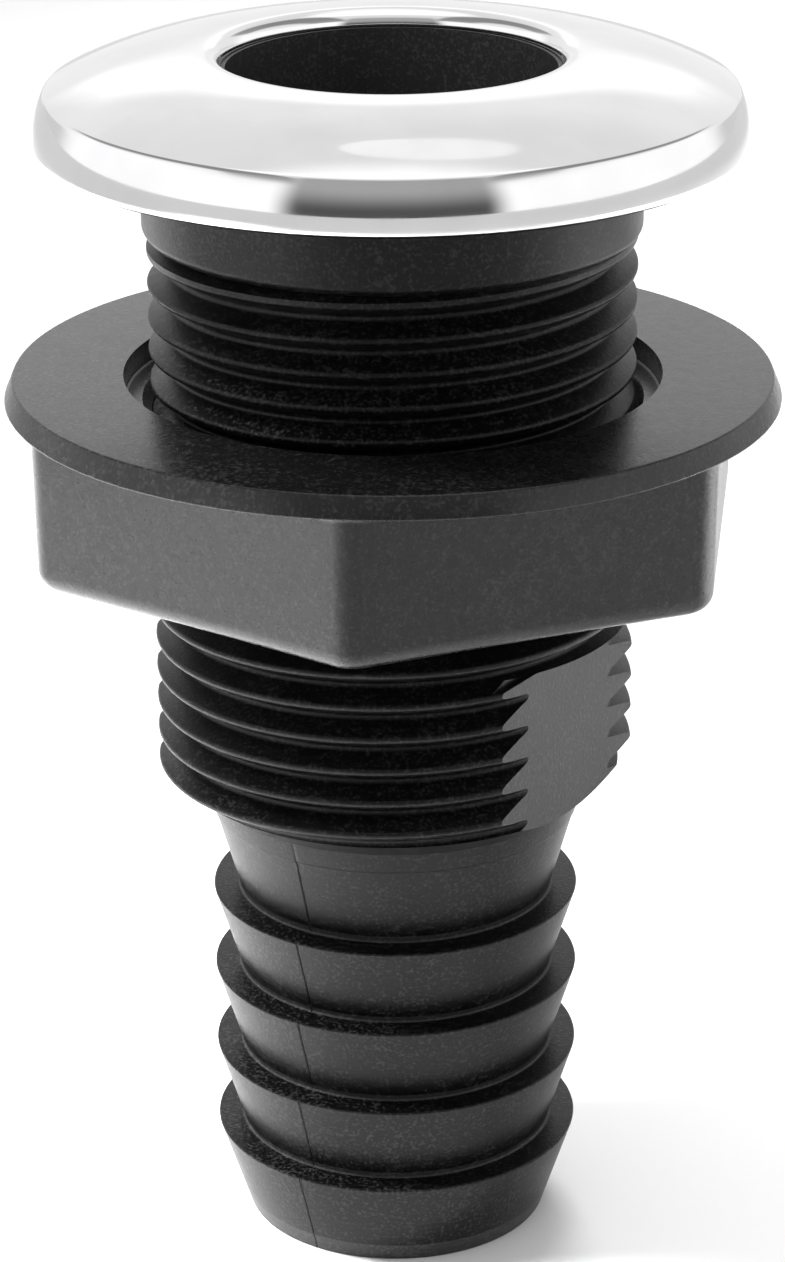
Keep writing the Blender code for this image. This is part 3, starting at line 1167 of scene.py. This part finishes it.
    def recess(self) -> bpy.types.Object:
        """The solid that sinks the recess and countersinks the thread's upper end.

        Returns:
            The solid.
        """
        floor = self.top - self.recess_depth
        inner = self.thread.root_radius()
        over = self.top + self.cutter_reach
        corners = [
            (self.blank_bore / 2, over, 0.0),
            (self.recess_radius, over, 0.0),
            (self.recess_radius, floor, self.recess_fillet),
            (self.countersink, floor, 0.0),
            (inner, floor - (self.countersink - inner), 0.0),
            (self.blank_bore / 2, floor - (self.countersink - inner), 0.0),
        ]
        return turn("recess", rounded(corners), even_angles(self.bore_columns))

    def foot_countersink(self) -> bpy.types.Object:
        """The solid that countersinks the thread's lower end.

        Returns:
            The solid.
        """
        bottom = self.top - self.height
        inner = self.thread.root_radius()
        outline = [
            (inner, bottom + self.countersink - inner),
            (self.countersink, bottom),
            (self.countersink, bottom - self.cutter_reach),
            (self.blank_bore / 2, bottom - self.cutter_reach),
            (self.blank_bore / 2, bottom + self.countersink - inner),
        ]
        return turn("foot_countersink", outline, even_angles(self.bore_columns))

    def tap(self) -> bpy.types.Object:
        """The solid that cuts the inner thread, a little larger than the body's.

        Returns:
            The solid.
        """
        angles = even_angles(self.bore_columns) - math.pi
        span = (self.top - self.height - self.tap_reach, self.top + self.tap_reach)

        def radius(angle: np.ndarray, height: np.ndarray) -> np.ndarray:
            """The body's thread with the clearance added."""
            return self.thread.radius(angle, height) + self.thread_clearance

        return threaded_rod("tap", self.thread, span, angles, self.blank_bore / 2, radius)

    def build(self) -> bpy.types.Object:
        """Build and dress the nut.

        Returns:
            The piece.
        """
        nut = self.blank()
        for tool in (self.tap(), self.recess(), self.foot_countersink()):
            combine(nut, tool, Join.CUT)
        finish = NylonFinish(
            name="dull_black_nylon",
            slot=Slot.NUT,
            colour=(0.0045, 0.0045, 0.0047),
            roughness=0.28,
            grain_depth=0.015 * MM,
            index=1.46,
        )
        present(nut, "nut", "lock_nut", finish)
        return nut


@dataclass(frozen=True)
class Lamp:
    """A soft oval lamp that the camera doesn't see, and that glossy faces mirror only where that is set."""

    name: str
    place: Spot
    aim: Spot
    size: Point
    power: float
    beam: Beam
    mirrored: bool = False

    def hang(self) -> None:
        """Put the lamp in the scene."""
        data = bpy.data.lights.new(self.name, "AREA")
        data.shape = "ELLIPSE"
        data.size, data.size_y = self.size
        data.energy = self.power
        data.spread = self.beam.value
        light = bpy.data.objects.new(self.name, data)
        light.location = self.place
        light.rotation_mode = "QUATERNION"
        light.rotation_quaternion = (Vector(self.aim) - Vector(self.place)).to_track_quat("-Z", "Y")
        light.visible_camera = False
        light.visible_glossy = self.mirrored
        bpy.context.scene.collection.objects.link(light)


@dataclass(frozen=True)
class Surroundings:
    """Pale surroundings of strength 1, with softly bounded lighter and darker zones."""

    name: str = "studio_surroundings"
    gap_sine: float = 0.56
    gap_softness: float = 0.08
    gap_glow: float = 0.1
    gap_rise: float = 0.35
    band_gain: float = 0.35
    side_gain: float = 0.28
    end_loss: float = 0.25
    upper_loss: float = 0.09
    seam_loss: float = 0.6
    zenith_gain: float = 0.4

    def build(self) -> None:
        """Make the world, whose zones are bounded by the x, y and z of a direction."""
        world = bpy.data.worlds.new(self.name)
        bpy.context.scene.world = world
        world.use_nodes = True
        graph = Graph(world.node_tree)
        x, y, z = graph.axes(graph.node("ShaderNodeTexCoord", {}, {}, "Generated"))
        wide = x.math("ABSOLUTE")
        aside = wide / (x * x + y * y) ** 0.5
        # Dim gap in front, lighter towards its top
        ahead = aside.step(self.gap_sine + self.gap_softness, self.gap_sine - self.gap_softness)
        gap = y.step(0.0, -0.02) * ahead * z.step(0.8, 0.6)
        gap_strength = self.gap_glow + self.gap_rise * z.step(0.05, 0.45)
        # Grey seam high on each side
        seam = wide.step(0.42, 0.5) * wide.step(0.8, 0.72) * z.step(0.42, 0.52)
        # Bright band low in the middle
        band = z.step(0.2, 0.28) * z.step(0.46, 0.36) * wide.step(0.35, 0.2)
        # Bright sides, and dim corners low at the back
        side = wide.step(0.3, 0.5) * z.step(0.55, 0.35) * y.step(0.7, 0.45)
        end = wide.step(0.35, 0.5) * z.step(0.16, 0.06) * y.step(0.5, 0.7)
        # All of them on the even strength, a shade darker high up and bright at the very top
        sky = 1.0 + self.band_gain * band + self.side_gain * side - self.end_loss * end
        sky = sky - self.upper_loss * z.step(0.5, 0.75) - self.seam_loss * seam
        sky = sky + self.zenith_gain * z.step(0.85, 0.93)
        sockets = {"Color": (1.0, 1.0, 1.0, 1.0), "Strength": sky * (1.0 - gap) + gap * gap_strength}
        background = graph.node("ShaderNodeBackground", {}, sockets)
        graph.node("ShaderNodeOutputWorld", {}, {"Surface": background})


@dataclass
class Studio:
    """A pale sheet, soft light and the camera."""

    image: tuple[int, int] = (785, 1262)
    principal: Point = (394.2, 631.0)
    focal_pixels: float = 4186.4
    sensor: float = 36.0
    elevation: float = math.radians(21.38)
    distance: float = 293.03 * MM
    aim_height: float = 43.98 * MM
    roll: float = math.radians(-0.271)
    clip_start: float = 0.01
    floor_size: float = 4.0
    floor_cells: int = 8
    lamps: tuple[Lamp, ...] = (
        Lamp("key_left", (-0.22, -0.02, 0.3), (-0.1, -0.01, 0.0), (0.08, 0.08), 0.27, Beam.WIDE),
        Lamp(
            "rear_top", (0.03, 0.27, 0.485), (0.0, 0.0, 0.08), (0.14, 0.1), 0.008, Beam.OPEN, mirrored=True
        ),
        Lamp("back_fill", (0.05, 0.5, 0.5), (0.06, 0.16, 0.0), (0.3, 0.3), 0.37, Beam.WIDE),
        Lamp("near_left", (-0.1, -0.02, 0.2), (-0.04, 0.0, 0.0), (0.05, 0.05), 0.06, Beam.WIDE),
        Lamp("front_left", (-0.22, -0.15, 0.3), (-0.2, -0.14, 0.0), (0.06, 0.06), 0.13, Beam.NARROW),
        Lamp("back_left", (-0.17, 0.14, 0.3), (-0.15, 0.13, 0.0), (0.06, 0.06), 0.14, Beam.NARROW),
        Lamp("low_right", (0.18, 0.01, 0.3), (0.165, 0.01, 0.0), (0.06, 0.06), 0.22, Beam.NARROW),
    )

    def floor(self) -> None:
        """Lay the sheet under the tail."""
        cells = self.floor_cells
        bpy.ops.mesh.primitive_grid_add(x_subdivisions=cells, y_subdivisions=cells, size=self.floor_size)
        sheet = bpy.context.object
        sheet.name = "pale_floor"
        sheet.data.materials.append(FloorFinish().material())

    def camera(self) -> None:
        """Set the camera where the photograph was taken from."""
        width, height = self.image
        data = bpy.data.cameras.new("camera")
        data.sensor_width = self.sensor
        data.lens = self.focal_pixels * self.sensor / height
        data.shift_x = (width / 2 - self.principal[0]) / height
        data.shift_y = (self.principal[1] - height / 2) / height
        data.clip_start = self.clip_start
        camera = bpy.data.objects.new("camera", data)
        back = Vector((0.0, -math.cos(self.elevation), math.sin(self.elevation)))
        place = Matrix.Translation(Vector((0.0, 0.0, self.aim_height)) + back * self.distance)
        tilt = Matrix.Rotation(math.pi / 2 - self.elevation, 4, "X")
        camera.matrix_world = place @ tilt @ Matrix.Rotation(self.roll, 4, "Z")
        bpy.context.scene.collection.objects.link(camera)
        bpy.context.scene.camera = camera

    def build(self) -> None:
        """Set up everything round the fitting."""
        self.floor()
        Surroundings().build()
        for lamp in self.lamps:
            lamp.hang()
        self.camera()
        bpy.context.scene.view_settings.view_transform = "Standard"


def main() -> None:
    """Build the fitting and the studio round it."""
    logging.basicConfig(level=logging.INFO, format="%(name)s: %(message)s")
    thread = PipeThread()
    cap = SteelCap.from_frame()
    for part in (cap, HullBody(cap, thread), LockNut.from_frame(thread)):
        piece = part.build()
        LOG.info("built %s", piece.name)
    Studio().build()


if __name__ == "__main__":
    main()
